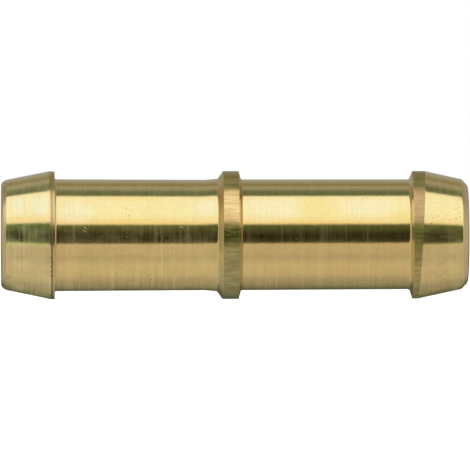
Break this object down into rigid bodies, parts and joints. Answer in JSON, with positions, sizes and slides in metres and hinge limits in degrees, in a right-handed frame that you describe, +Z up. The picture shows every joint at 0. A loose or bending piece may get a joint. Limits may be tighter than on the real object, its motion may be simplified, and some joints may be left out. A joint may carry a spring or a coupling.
{
  "type": "hose joiner",
  "caption": "Straight turned brass joiner for two hoses: a tapered barb at each end, plain shanks and a stop collar near the middle, with a bore right through",
  "frame": {"origin": "on the axis of the bore, half way along the length", "axes": "+X along the bore towards the barb with the leaning shoulder and the chamfered nose, +Z up, +Y away from the front view"},
  "size_m": [0.0546, 0.015, 0.015],
  "materials": {
    "turned_brass": "bare brass with fine turning lines, drawn bar skin on the collar and barb lands, lightly tarnished"
  },
  "bodies": {
    "root": {"hose_joiner_body": "turned_brass"}
  },
  "joints": []
}
